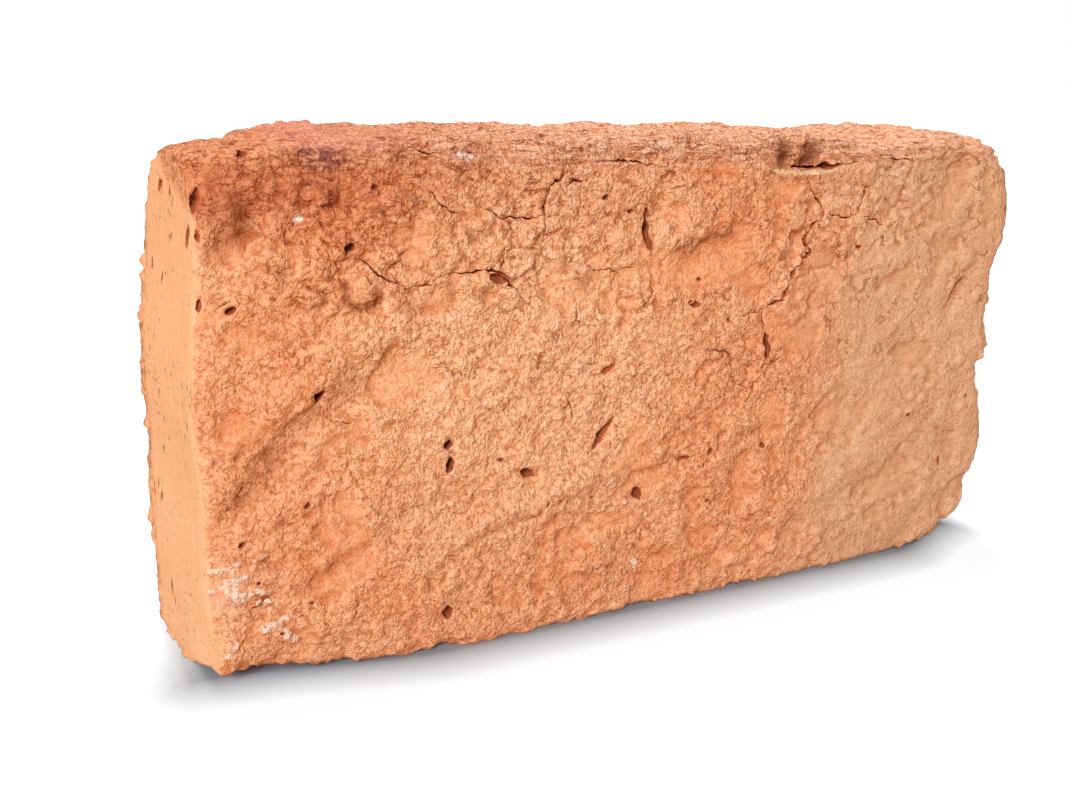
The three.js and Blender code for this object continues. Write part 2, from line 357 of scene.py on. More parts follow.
def read_back(tree, names):
    """Numbers kept on the mesh under these names, one wire for each."""
    return [join(tree, "ShaderNodeAttribute", [], 2, attribute_name=name) for name in names]


def kept_masks(place, normal):
    """The same masks, with the costly ones read back from where they were kept on the mesh."""
    kept = zip(KEPT_MASKS, read_back(place.tree, KEPT_MASKS))
    return having(plain_masks(place, normal), **dict(kept))


# %% [markdown]
# ## The body of clay
#
# The solid's flat facets would show through a thin skin of relief. A copy of it is welded, remeshed
# into even small squares and relaxed, which rounds the facets off and keeps the outline. Remeshing
# is chosen over subdivision, because the solid's long thin triangles subdivide badly.

# %% Weld and even out a copy of the solid
BODY_VOXEL = 1.0 * MM
BODY_SMOOTHING = 6


def welded_copy(source, name):
    work = bmesh.new()
    work.from_mesh(source.data)
    bmesh.ops.remove_doubles(work, verts=work.verts, dist=0.001 * MM)
    mesh = bpy.data.meshes.new(name)
    work.to_mesh(mesh)
    work.free()
    return placed(name, mesh)


def remesh(piece, size):
    modifier = piece.modifiers.new("remesh", "REMESH")
    having(modifier, mode="VOXEL", voxel_size=size, use_smooth_shade=True)


def settled(piece):
    """The piece with its modifiers applied, as a new object of the same name."""
    graph = bpy.context.evaluated_depsgraph_get()
    mesh = bpy.data.meshes.new_from_object(piece.evaluated_get(graph), depsgraph=graph)
    name = piece.name
    bpy.data.objects.remove(piece)
    return placed(name, mesh)


def triangles(piece):
    return sum(len(p.vertices) - 2 for p in piece.data.polygons)


brick = welded_copy(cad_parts["brick"], "brick_clay")
remesh(brick, BODY_VOXEL)
having(brick.modifiers.new("relax", "SMOOTH"), factor=0.5, iterations=BODY_SMOOTHING)
brick = settled(brick)
print("body of clay:", triangles(brick), "triangles")

# %% [markdown]
# ## Lumps one by one
#
# Some lumps of clay are big enough to be known one by one. Each is a ball sunk into the face, with
# its middle found by looking straight in from the front until the clay is met. Balls and body
# overlap, and the next remesh melts them together.

# %% Press on the big lumps
# along, up, radius and how far it stands out, in millimetres
LUMPS = [
    (37, 90, 4.2, 1.7), (43, 120, 2.4, 1.4), (44, 111, 3.6, 1.1), (27, 108, 3.4, 1.3),
    (18, 105, 2.6, 1.2), (16, 99, 5.4, 1.4), (18, 93, 4.6, 1.3), (26, 96, 4.4, 1.3),
    (28, 113, 3.4, 1.5), (72, 100, 2, 1.2), (183, 115.5, 2.2, 1.3), (197.5, 116.5, 2, 1.1),
    (225, 89.5, 3.8, 1.3), (55, 104, 4.2, 1), (52, 99, 3.8, 1.1), (93, 92, 3.6, 1),
    (104, 99, 3.4, 1), (158, 104, 4.6, 1.2), (156, 96, 4.2, 1.2), (172, 98, 3.6, 1),
    (177, 94, 3, 1), (149, 88, 3.6, 1), (116, 70, 3.6, 0.9), (128, 56, 3.2, 0.9), (86, 66, 3, 0.9),
    (71, 68, 3.2, 0.9), (44, 52, 3.4, 0.9), (36, 40, 3.2, 0.9), (60, 58, 2.6, 0.8),
    (100, 24, 3.6, 0.9), (134, 22, 3.4, 1), (160, 12, 3.8, 1.3), (178, 12, 3.2, 1.2),
    (188, 16, 2.8, 1.1), (146, 9, 2.8, 1.2), (128, 8, 2.6, 1.1),
]
INTO_BED = Vector((0.0, 1.0, 0.0))
INTO_HEADER = Vector((1.0, 0.0, 0.0))


def mouth(tree, x, z):
    """Where a line looking straight into the bed face first meets the clay."""
    return tree.ray_cast(Vector((x - LENGTH / 2, -THICKNESS, z)) * MM, INTO_BED)[0]


def press_on(piece, lumps):
    work = bmesh.new()
    work.from_mesh(piece.data)
    tree = BVHTree.FromBMesh(work)
    for x, z, radius, rise in lumps:
        place = mouth(tree, x, z)
        size = Matrix.Diagonal((radius * MM, rise * 1.3 * MM, radius * 0.9 * MM, 1.0))
        lean = Matrix.Rotation(math.radians(x * 37 % 90 - 45), 4, "Y")
        sunk = Matrix.Translation(place + Vector((0.0, rise * 0.3 * MM, 0.0)))
        bmesh.ops.create_icosphere(work, subdivisions=3, radius=1.0, matrix=sunk @ lean @ size)
    work.to_mesh(piece.data)
    work.free()


press_on(brick, LUMPS)
print(len(LUMPS), "lumps pressed on")

# %% [markdown]
# ## Crumbs
#
# Sand and dry clay rolled onto the face when the brick left its mould, and baked on as crumbs of
# half a millimetre to three millimetres. They repeat, so Geometry Nodes scatter one small ball, and
# a noise then knocks every ball out of round. Remeshing afterwards melts balls and body into one
# skin, with a sharp crease round each crumb that displacement alone can't make.

# %% Scatter the crumbs
CRUMBS = {
    "Crumbs per square centimetre": 24.0, "Least size": 0.35, "Extra size": 1.5, "Flatness": 0.5,
    "Dent": 0.7,
}
SQUARES_PER_METRE = 100 * 100
PLACE_SEED = 11
SIZE_SEED = 5
SKIN_VOXEL = 0.45 * MM


def new_tree(name, sizes):
    """A Geometry Nodes tree with a mesh in, a mesh out and named number inputs."""
    tree = bpy.data.node_groups.new(name, "GeometryNodeTree")
    tree.interface.new_socket("Clay", in_out="INPUT", socket_type="NodeSocketGeometry")
    tree.interface.new_socket("Clay", in_out="OUTPUT", socket_type="NodeSocketGeometry")
    for label in sizes:
        tree.interface.new_socket(label, in_out="INPUT", socket_type="NodeSocketFloat")
    entry = tree.nodes.new("NodeGroupInput")
    return tree, {s.name: Wire(tree, s) for s in entry.outputs if s.name}


def finish_tree(clay, material):
    """Ends a tree with the clay in its material."""
    lead_out(join(clay.tree, "GeometryNodeSetMaterial", [clay, None, material]), "NodeGroupOutput")


def add_tree(piece, tree, sizes):
    """Puts the tree on the piece and sets its named sizes by their identifiers."""
    modifier = piece.modifiers.new(tree.name, "NODES")
    modifier.node_group = tree
    for item in tree.interface.items_tree:
        if item.in_out == "INPUT" and item.name in sizes:
            modifier[item.identifier] = sizes[item.name]


def crumb_tree(material):
    tree, sizes = new_tree("crumbs", CRUMBS)
    spot = join(tree, "GeometryNodeInputPosition", []).scaled(1.0 / MM)
    face = face_masks(spot, join(tree, "GeometryNodeInputNormal", []))
    share = (face.crust * 0.9 + 0.1) * (1 - face.header) * (1 - face.calm * 0.65)
    share = share * (1 - face.top * 0.75) * (mottle(spot, 9, seed=9) * 4 + 0.7).clamped()
    density = sizes["Crumbs per square centimetre"] * SQUARES_PER_METRE * share
    inputs = {"Mesh": sizes["Clay"], "Density": density, "Seed": PLACE_SEED}
    points = join(tree, "GeometryNodeDistributePointsOnFaces", inputs)
    dice = join(tree, "FunctionNodeRandomValue", {"Seed": SIZE_SEED}, data_type="FLOAT")
    size = (dice.maths("POWER", 4.5) * sizes["Extra size"] + sizes["Least size"]) * MM
    wide = join(tree, "ShaderNodeCombineXYZ", [size, size, size * sizes["Flatness"]])
    ball = join(tree, "GeometryNodeMeshIcoSphere", [1.0, 2])
    spin = points.sibling("Rotation")
    inputs = {"Points": points, "Instance": ball, "Rotation": spin, "Scale": wide}
    balls = join(tree, "GeometryNodeInstanceOnPoints", inputs)
    balls = join(tree, "GeometryNodeRealizeInstances", [balls])
    both = join(tree, "GeometryNodeJoinGeometry", [sizes["Clay"]])
    tree.links.new(balls.socket, both.socket.node.inputs[0])
    knock = join(tree, "ShaderNodeTexNoise", {"Vector": spot, "Scale": 0.55, "Detail": 3.0}, 1)
    knock = knock.vectors("SUBTRACT", MIDDLE).scaled(sizes["Dent"] * (1 - face.header))
    inputs = {"Geometry": both, "Offset": knock.scaled(MM)}
    finish_tree(join(tree, "GeometryNodeSetPosition", inputs), material)
    return tree


fired_clay = bpy.data.materials.new("fired_clay")
add_tree(brick, crumb_tree(fired_clay), CRUMBS)
remesh(brick, SKIN_VOXEL)

# %% [markdown]
# ## Relief
#
# The rest of the relief follows rules, so it is one formula of place: folded lumps where the clay
# is crusty, a step down to the smooth patches where the crust came away, slanting drag marks,
# streaks along the top and faint ones up the header. Displacing along the normal with Geometry
# Nodes keeps each size a named input.

# %% Raise the relief
RELIEF = {
    "Swell": 0.9, "Lump": 0.5, "Crust": 0.7, "Nodule": 0.5, "Granule": 0.5, "Plate": 0.9,
    "Drag": 0.6, "Streak": 0.55, "Crease": 0.6, "Sink": 0.9,
}
# half-width and rise in millimetres, then the spots that the long ridge or hollow runs through
STROKES = [
    (6, 0.7, (4.7, 51), (11.1, 59.5), (17.9, 67), (24.8, 72), (33, 76), (42.5, 79.5), (51, 82)),
    (7.5, -0.5, (6, 44), (12, 50.5), (19, 57.4), (27, 64.2), (34, 69.2), (42.5, 74), (51, 77.4)),
    (3.5, 0.7, (54, 23.5), (60, 28), (68, 31), (79, 34.6), (89, 37), (99, 38), (114, 41.6),
        (127, 45)),
    (3, -0.7, (54.5, 19.7), (60, 24.4), (68, 27.4), (79, 31), (89, 33.3), (99, 34.1),
        (114, 37.8), (127, 41.3)), (3, -0.7, (13.9, 30.4), (20.9, 32.2), (24.4, 34.5)),
    (2.6, 0.6, (13, 34), (21, 36), (25, 38.4)),
    (3, -0.6, (22, 22.6), (29, 25), (34, 27.8), (44, 32.3)),
    (2.6, 0.6, (21, 26.4), (28, 28.8), (33, 31.4), (43, 36)),
    (3.4, -1.3, (117.6, 113.6), (116.2, 109), (114.6, 105.5), (114.6, 98.5)),
    (2.6, -1.3, (153.2, 122), (152.8, 118)), (2.6, -1.5, (163, 122), (162.3, 118)),
    (2.6, -0.8, (146, 44), (155, 45), (164, 45.6)), (5, -0.7, (3.5, 111), (4, 104), (4.5, 99)),
    (3.5, 0.8, (8.5, 111), (9, 105), (8.5, 99)), (4, -0.7, (10, 112), (11.5, 107.5), (12, 103.5)),
    (3, -1, (36, 88.6), (41, 88.4), (43.4, 92)), (2.6, -0.8, (50, 86.4), (56, 85.6), (60, 88)),
]
# round lumps: along, up, half-width, half-height, tilt and rise, in millimetres and degrees
ROUND_LUMPS = [
    (36.9, 91.2, 4.2, 3.8, 0, 1.6), (25.3, 90.6, 3.6, 2.6, -15, 1.2),
    (26, 112.2, 3.8, 2.8, -20, 0.8), (66.3, 105.1, 3.4, 2, 10, 0.9),
    (72.7, 107.6, 2.8, 1.6, 0, 0.7), (58.1, 116.4, 3, 2.8, 0, 0.7), (13.2, 119.5, 2.8, 3.8, 0, 0.8),
    (18.1, 107.8, 2.6, 2.6, 0, 0.9), (67.3, 92, 3.8, 2.2, -5, 0.9),
    (36.5, 101.2, 3.8, 2.6, 10, 0.8), (86.9, 95.6, 3.4, 3.4, 0, 0.8), (15.6, 98, 4.6, 4.2, 20, 0.7),
]
# half-width in millimetres, then the spots that the white crust runs through
LIME = [
    (0.8, (0.8, 30.8), (2.6, 30.9), (4.3, 31.4), (7.9, 31.9)), (0.9, (11.3, 32.3), (13.9, 33)),
    (1.3, (4.9, 27.1), (6.6, 29.1), (7.7, 28)), (1.1, (8.1, 28.3), (10.5, 28.8)),
    (1.6, (6.4, 25.9), (7.6, 24.5), (8.9, 24.2)), (0.7, (5.7, 23.3), (7.4, 22.8), (9.1, 23.3)),
    (1, (9.4, 24.2), (12, 25.2), (13.4, 24.1)), (0.6, (11.4, 20.7), (12.2, 22.2), (13.7, 22.6)),
    (0.9, (13.7, 22.4), (14.9, 21.8), (14.5, 20.4)), (1.5, (13.6, 15.1), (15, 15.8), (16.8, 15.7)),
    (0.7, (17.1, 16.8), (20.1, 17.8)), (1.3, (17.9, 14), (18.9, 12.4), (20.9, 10.6)),
    (0.8, (7, 13.4), (5.7, 11.8), (5, 10.1)), (0.8, (0.8, 26.1), (2.1, 26.4)),
    (0.6, (25.2, 19), (26, 19)), (1.2, (60.5, 120.5), (62.5, 120)),
]
STRAW = [(150.4, 115.7), (154, 115.4), (159.1, 114.9), (166, 115), (171.5, 115.7)]
# half-width and how dark, then the spots that each streak of painted shade runs through, in slots,
# nicks and dents, along the furrow and under ledges and lumps
PAINTED_SHADE_STROKES = [
    (1.5, 1, (111.8, 105.4), (112.3, 102), (112.9, 98.6)), (6, 0.5, (9.5, 110.5), (10.8, 105.5)),
    (5, 0.25, (4, 101), (5.5, 106), (6, 112)), (4.4, 1.2, (153.4, 121), (153, 118)),
    (0.9, 0.5, (152, 114), (160, 113.6), (170, 114.4)), (4.8, 1.3, (163.4, 120.6), (162.3, 118)),
    (6, 0.4, (8.5, 46.5), (12.5, 51), (18, 57)), (5, 0.25, (18, 57), (27, 64.5), (36, 70)),
    (1.8, 0.7, (121, 96.4), (125, 98.2), (128, 99), (132, 99.6), (140, 99.6)),
    (1.8, 0.6, (34.6, 102.2), (33.4, 99.4)), (2, 0.5, (0.6, 113), (1.2, 108.5)),
    (2.2, 0.4, (88, 96), (92, 92), (95, 88)), (1.6, 0.5, (132.8, 70.4), (137, 69.8), (141, 67)),
    (1.1, 1, (33.2, 93), (33.4, 88.8), (37, 87), (40.6, 88.2), (41.4, 90.7)),
    (1, 0.9, (22.6, 110.6), (22.6, 114), (25.1, 115.4), (28.4, 113.9), (30, 112)),
    (1, 0.6, (23, 93.2), (27.6, 92.2), (28.4, 89.6), (24.3, 88)),
    (0.9, 0.6, (46, 113.9), (47.6, 111.4), (50.3, 110.6)),
    (1, 0.7, (68.2, 89.6), (66.4, 89.8), (65.5, 88.3), (68.2, 85.2)),
    (1.3, 0.5, (59.1, 91.3), (59.9, 86.8)), (1, 0.6, (47.9, 88.5), (48.1, 84)),
    (1.4, 0.45, (28.8, 98), (29, 95)), (1.5, 0.8, (62.5, 103.4), (64.4, 100.8)),
    (1, 0.6, (33, 103), (34, 99), (37, 98.2)),
]
# the middles of the white pebbles, and how far the relief stays inside the solid's box
CHALK = [(22.3, 107.6), (113.7, 13.9)]
BOX_MARGIN = 0.02 * MM


def clay_relief(spot, face, sizes):
    """Height of the skin above the body, in millimetres."""
    rough = 1 - face.header
    lively = (1 - face.calm * 0.5) * (1 - face.top * 0.4)
    mood = (mottle(spot, 30, 1, 0.5, 13) * 3 + 0.5).clamped()
    grainy = (0.4 + face.crust * 0.6) * (0.6 + face.x.between(20, 60) * 0.4) * lively
    stir = stirred(spot, 3, 0.9, 2)
    height = mottle(spot, 15, seed=8) * sizes["Swell"] * 2 + face.crust * sizes["Crust"]
    height = height + folds(stir, 7.5, 1, 0.05) * sizes["Lump"] * lively
    height = height + folds(stir, 3.4, 4, 0.03) * sizes["Nodule"] * grainy * (mood * 1.2 + 0.5)
    height = height + pebbles(stir, 2.1, 7) * sizes["Granule"] * grainy * (1.3 - mood * 0.6)
    height = height + plates(spot, face) * sizes["Plate"] + drags(spot, face) * sizes["Drag"]
    height = height + layers(spot, face) * sizes["Streak"] - creases(spot, face) * sizes["Crease"]
    bent = stirred(stirred(spot, 11, 3, 8), 3.5, 1.2, 4)
    faint = (mottle(spot, 9, seed=19) * 3 + 0.8).clamped() * face.front
    for wide, rise, *points in STROKES:
        height = height + off_stroke(bent, points).between(wide, 0) * faint * rise
    near = stirred(spot, 2.4, 0.7, 3)
    for *oval, rise in ROUND_LUMPS:
        height = height + blot(near, *oval).between(0, 0.6) * face.front * rise
    height = height + lime_cover(spot, face) * (folds(stir, 2.2, 5) + 0.4)
    height = height * rough * (0.5 + face.x.between(0, 8) * 0.5)
    scrape = folds(spot, 1.6, 5, 0.05, (1, 1, 9)) * 0.2
    torn = face.header * face.y.between(16, 22) * (folds(stir, 3, 2) * 2.4 - 0.7)
    return height + scrape * face.header + torn - sizes["Sink"]


def plates(spot, face):
    """Flat plates, each a little higher or lower than the next and sunk along its rim."""
    stir = stirred(spot, 5, 1.8, 4)
    own = cells(stir, 7.5, 4)[1]
    rim = cell_rims(stir, 7.5, 4).between(0.09, 0)
    return (own - 0.5 - rim * 0.55) * (face.plated * 1.5).clamped()


def drags(spot, face):
    """Low slanting ridges that the striking board left in the lower half."""
    ridges = mottle(turned(spot, 22), 5, 3, 0.55, 2, (5, 1, 1)) * 2
    return ridges * face.z.between(90, 50)


def layers(spot, face):
    """Thin torn layers along the top arris, where a wire cut the clay."""
    sheet = mottle(stirred(spot, 6, 1, 1), 1.7, 2, 0.5, 6, (9, 2, 1))
    step = sheet.between(-0.04, 0.04) + sheet * 1.5
    return (step - 0.5) * face.z.between(HEIGHT - 12, HEIGHT - 4)


def creases(spot, face):
    """Fine shrinkage cracks, 1 along their middles, in broken runs between the lumps."""
    stir = stirred(spot, 4, 1.6, 6)
    near = cell_rims(stir, 8, 2).between(0.03, 0)
    broken = mottle(spot, 9, seed=14) + face.plated * 0.12 - face.calm * 0.08
    return near * broken.between(0.04, 0.12) * face.crust * (1 - face.header)


def lime_cover(spot, face):
    """1 where lime has dried on the clay as a wrinkled white crust."""
    cloud = (mottle(spot, 1.2, 2, 0.7, 3) * 5 + 0.7).clamped()
    return (face.lime * cloud).between(0.12, 0.6)


def relief_tree(material):
    tree, sizes = new_tree("relief", RELIEF)
    metres = join(tree, "GeometryNodeInputPosition", [])
    spot = metres.scaled(1.0 / MM)
    normal = join(tree, "GeometryNodeInputNormal", [])
    face = face_masks(spot, normal)
    add_strokes(face, spot)
    moved = metres.vectors("ADD", normal.scaled(clay_relief(spot, face, sizes) * MM))
    inside = moved.vectors("MAXIMUM", tuple(v + BOX_MARGIN for v in low))
    inside = inside.vectors("MINIMUM", tuple(v - BOX_MARGIN for v in high))
    raised = join(tree, "GeometryNodeSetPosition", {"Geometry": sizes["Clay"], "Position": inside})
    for name in KEPT_MASKS:
        raised = stored(raised, name, getattr(face, name))
    finish_tree(with_shelter(raised), material)
    return tree


def stored(clay, name, value):
    """The clay with the value kept on each of its points under this name."""
    inputs = {"Geometry": clay, "Name": name, "Value": value}
    kind = {"domain": "POINT", "data_type": "FLOAT"}
    return join(clay.tree, "GeometryNodeStoreNamedAttribute", inputs, **kind)


def with_shelter(clay):
    """Stores how deep each point lies below the average of its surroundings, in millimetres."""
    here = join(clay.tree, "GeometryNodeInputPosition", [])
    normal = join(clay.tree, "GeometryNodeInputNormal", [])
    for name, steps in DEPTHS.items():
        inputs = {"Value": here, "Iterations": steps}
        blurred = join(clay.tree, "GeometryNodeBlurAttribute", inputs, data_type="FLOAT_VECTOR")
        depth = blurred.vectors("SUBTRACT", here).vectors("DOT_PRODUCT", normal) / MM
        clay = stored(clay, name, depth)
    return clay


add_tree(brick, relief_tree(fired_clay), RELIEF)
brick = settled(brick)
fine = triangles(brick)

# %% [markdown]
# ## A lighter skin
#
# Squares of half a millimetre make far more triangles than the brick needs. Decimating takes
# corners away where the skin is flat and keeps them round the crumbs. Weights let the back and the
# foot lose more than the faces that show most.

# %% Thin the skin
MOST_TRIANGLES = 163000
THIN_WEIGHTS = {"seen": 0.1, "back": 0.6, "foot": 1.0}
THIN_STRENGTH = 0.004


def sides_of(piece):
    """The numbers of the vertices on the seen faces, on the back and far end, and underneath."""
    sides = {"seen": [], "back": [], "foot": []}
    for vert in piece.data.vertices:
        x, y, z = vert.normal
        side = "foot" if z < -0.6 else "back" if y > 0.5 or x > 0.6 else "seen"
        sides[side].append(vert.index)
    return sides


group = brick.vertex_groups.new(name="thinning")
for side, numbers in sides_of(brick).items():
    group.add(numbers, THIN_WEIGHTS[side], "REPLACE")
thin = having(brick.modifiers.new("thin", "DECIMATE"), ratio=MOST_TRIANGLES / fine)
having(thin, vertex_group=group.name, vertex_group_factor=THIN_STRENGTH)
brick = settled(brick)
kept = {side: len(numbers) for side, numbers in sides_of(brick).items()}
print("skin of", fine, "triangles thinned to", triangles(brick), "with corners", kept)

# %% [markdown]
# ## Cracks
#
# The clay shrank as it dried, and tore along lines that wander between the lumps. A crack is deep
# and has sharp lips, so it is cut out as a boolean difference. The cutter is a ribbon with a
# pointed keel, swept along the crack and narrowed to nothing at both ends.

# %% Cut the cracks
# width and depth in millimetres, then the spots that the crack runs through
CRACKS = [
    (1.6, 4.5, (162, 113.6), (163.8, 110.5), (166.5, 108), (168.3, 105.3), (168.2, 102.7),
        (165.7, 100.9), (163.8, 99.1), (163.1, 96.2), (165.8, 93.9), (162.9, 92.2),
        (160.4, 89.9), (159, 87.3), (158.9, 84.6), (157.5, 81.7), (154.9, 81.1), (150.9, 79.4),
        (144, 78.1)),
    (0.6, 2.2, (168.6, 104), (172.5, 103.6), (176.5, 102.4), (179.9, 103.7), (182, 106.8),
        (182.6, 110.6), (186.4, 112.1)),
    (0.45, 1.6, (182, 103), (188, 101.5), (192, 99.5), (196, 101.5)),
    (1, 3.4, (88, 119), (86.4, 114.8), (83.4, 113.2), (82.5, 110.7), (82.3, 107.9),
        (82.4, 104.5), (82.6, 100)),
    (0.7, 2.2, (82.4, 106.5), (77.9, 105.7), (73.9, 106.3), (71.3, 105.9), (68.1, 108.1),
        (65, 109)), (0.6, 2, (87.8, 112.9), (89.6, 114.2), (92.7, 114.4)),
    (0.9, 3, (55.8, 93.8), (63.4, 93.9), (68.6, 94.1), (71.5, 93.2), (74.5, 90.2), (78.1, 86.2),
        (80.6, 84.3)), (0.6, 2, (71.5, 93.2), (71.9, 96), (71.5, 99.6)),
    (0.6, 2, (44.8, 93.7), (47.2, 91.2), (53.4, 91.9), (56, 93.8)),
    (0.5, 1.8, (34.2, 98.8), (37.9, 97.9), (39.5, 96), (42.5, 93.6), (46, 92.4)),
    (0.6, 2, (53, 112.6), (55, 110), (58.5, 108), (62, 107.6)),
    (0.5, 1.8, (150.9, 79.4), (151.2, 76.5), (152, 73.5), (152.9, 71)),
    (0.6, 2, (132.7, 69.9), (136.3, 69.5), (140, 68.7), (141.5, 66.9), (141.3, 63.1),
        (144.2, 59.6), (147.8, 57.8)),
    (0.7, 2.2, (152.8, 66), (152, 63), (150.6, 60.6), (148.6, 56.9), (147.1, 54.3)),
    (0.5, 1.6, (152.3, 64.2), (155, 64.2), (158, 65.2)),
    (0.45, 1.6, (28.9, 63.2), (31.3, 62), (35.1, 60.9)),
    (0.8, 2.4, (10.7, 18.3), (10.9, 20.4), (11.8, 21.8), (13.4, 22.3), (15.3, 22.1)),
    (0.5, 1.6, (4.6, 88.9), (5.9, 90.1), (7.8, 90.8)),
    (0.4, 1.4, (94, 97.5), (94.4, 94.5), (98, 92.6), (104, 92.4), (109, 92.6)),
    (0.4, 1.4, (113.8, 90.2), (115.4, 86.6), (112.8, 83), (110, 80.6)),
    (0.5, 1.5, (117, 93.4), (120, 95.8), (122.2, 99.6)),
    (0.5, 1.6, (48, 121.6), (53, 120.8), (58, 120.2)),
    (0.6, 2, (96, 118.6), (103, 118.9), (110, 118.1), (116, 117)),
    (0.5, 1.6, (188, 118.5), (194, 117.8), (199, 118.2)),
    (0.5, 1.5, (92.5, 86), (92.4, 80.5), (94.5, 79.2), (98.5, 79)),
    (0.4, 1.3, (96, 69.5), (99.5, 69.3)), (0.4, 1.3, (90.5, 62), (92, 58.8), (92.8, 56)),
]
CUTTER_REACH = 4.0 * MM
WANDER_SEED = 4
noise.seed_set(WANDER_SEED)
# shares of a crack's full width at its tips and where it is narrowest, how fast a tip widens, and
# the share of the depth at which the walls turn in to the keel
TIP = 0.15
NARROWEST = 0.15
TAPER = 2.6
WALL_SHARE = 0.35


def wandering(points, step=0.45, aside=0.6):
    """The stroke in short steps, each pushed aside by a noise."""
    path = []
    for start, end in zip(points, points[1:]):
        foot, head = Vector(start), Vector(end)
        steps = max(1, round((head - foot).length / step))
        path += [foot.lerp(head, i / steps) for i in range(steps)]
    path.append(Vector(points[-1]))
    last = len(path) - 1
    for i, spot in enumerate(path):
        push = noise.noise_vector(Vector((spot.x * 0.45, 3.0, spot.y * 0.45)))
        push += noise.noise_vector(Vector((spot.x, 7.0, spot.y)) * 1.3) * 0.6
        spot += Vector((push.x, push.z)) * aside * min(1.0, i, last - i)
    return path


def crack_cutter(tree, width, depth, *points):
    """A ribbon with a pointed keel along the crack, in the shape of its five-cornered section."""
    path = wandering(points)
    last = len(path) - 1
    work = bmesh.new()
    rings = []
    for i, spot in enumerate(path):
        on = mouth(tree, spot.x, spot.y)
        run = path[min(i + 1, last)] - path[max(i - 1, 0)]
        side = Vector((run.y, 0.0, -run.x)).normalized() * 0.5 * MM
        ends = min(1.0, TIP + TAPER * i / last, TIP + TAPER * (last - i) / last)
        ragged = noise.noise(Vector((spot.x, 9.0, spot.y)) * 0.5)
        ragged += 0.6 * noise.noise(Vector((spot.x, 2.0, spot.y)) * 1.4)
        edge = side * (width * ends * max(NARROWEST, 0.5 + ragged))
        deep = Vector((0.0, depth * ends * MM, 0.0))
        out = Vector((0.0, -CUTTER_REACH, 0.0))
        wall = deep * WALL_SHARE
        shape = [on + edge + out, on + edge + wall, on + deep, on - edge + wall, on - edge + out]
        rings.append([work.verts.new(v) for v in shape])
    for near, far in zip(rings, rings[1:]):
        for a in range(5):
            b = (a + 1) % 5
            work.faces.new((near[a], near[b], far[b], far[a]))
    work.faces.new(list(reversed(rings[0])))
    work.faces.new(rings[-1])
    sink(work, mouth(tree, *path[last // 2]), INTO_BED)
    return work


def sink(work, mouth_at, into):
    """Notes on each of the cutter's vertices how many millimetres it lies below the mouth."""
    layer = work.verts.layers.float.new("hollow")
    for vert in work.verts:
        vert[layer] = max(0.0, (vert.co - mouth_at).dot(into)) / MM


def cutter_object(name, work):
    """Makes the cutter's faces point outwards and marks them, so the walls it cuts are marked."""
    bmesh.ops.recalc_face_normals(work, faces=work.faces)
    if work.calc_volume(signed=True) < 0.0:
        bmesh.ops.reverse_faces(work, faces=work.faces)
    mesh = bpy.data.meshes.new(name)
    work.to_mesh(mesh)
    work.free()
    mesh.materials.append(fired_clay)
    mark = mesh.attributes.new("cut", "FLOAT", "FACE")
    mark.data.foreach_set("value", [1.0] * len(mesh.polygons))
    for mask in (*DEPTHS, *KEPT_MASKS):
        if mask not in mesh.attributes:
            mesh.attributes.new(mask, "FLOAT", "POINT")
    return placed(name, mesh)


def box_of(cutter):
    spots = [vert.co for vert in cutter.data.vertices]
    return [(min(v[i] for v in spots), max(v[i] for v in spots)) for i in range(3)]


def apart(box, other):
    return any(near[1] < far[0] or far[1] < near[0] for near, far in zip(box, other))


def sets_apart(cutters):
    """Sorts the cutters into few sets, in each of which none touches another."""
    sets = []
    for cutter in cutters:
        box = box_of(cutter)
        home = next((s for s in sets if all(apart(box, other) for _, other in s)), None)
        if home is None:
            home = []
            sets.append(home)
        home.append((cutter, box))
    return [[cutter for cutter, _ in one] for one in sets]


def cut(piece, name, works):
    """Takes the cutters out of the piece, one set at a time, and clears them away."""
    before = triangles(piece)
    if "cut" not in piece.data.attributes:
        piece.data.attributes.new("cut", "FLOAT", "FACE")
    for one in sets_apart([cutter_object(name, work) for work in works]):
        tool = one[0]
        if len(one) > 1:
            with bpy.context.temp_override(active_object=tool, selected_editable_objects=one):
                bpy.ops.object.join()
        modifier = piece.modifiers.new("cut", "BOOLEAN")
        having(modifier, operation="DIFFERENCE", solver="MANIFOLD", object=tool)
        piece = settled(piece)
        bpy.data.objects.remove(tool)
    print(len(works), name, "cut:", before, "triangles became", triangles(piece))
    return piece


def clay_tree(piece):
    work = bmesh.new()
    work.from_mesh(piece.data)
    tree = BVHTree.FromBMesh(work)
    work.free()
    return tree


skin = clay_tree(brick)
brick = cut(brick, "cracks", [crack_cutter(skin, *crack) for crack in CRACKS])

# %% [markdown]
# ## Husk holes
#
# Chopped straw and husks were mixed into the clay to keep it from cracking. The fire burnt them
# out, and left holes with their shape. Each is cut with a ball, stretched to the size of the husk's
# mouth and knocked out of round.

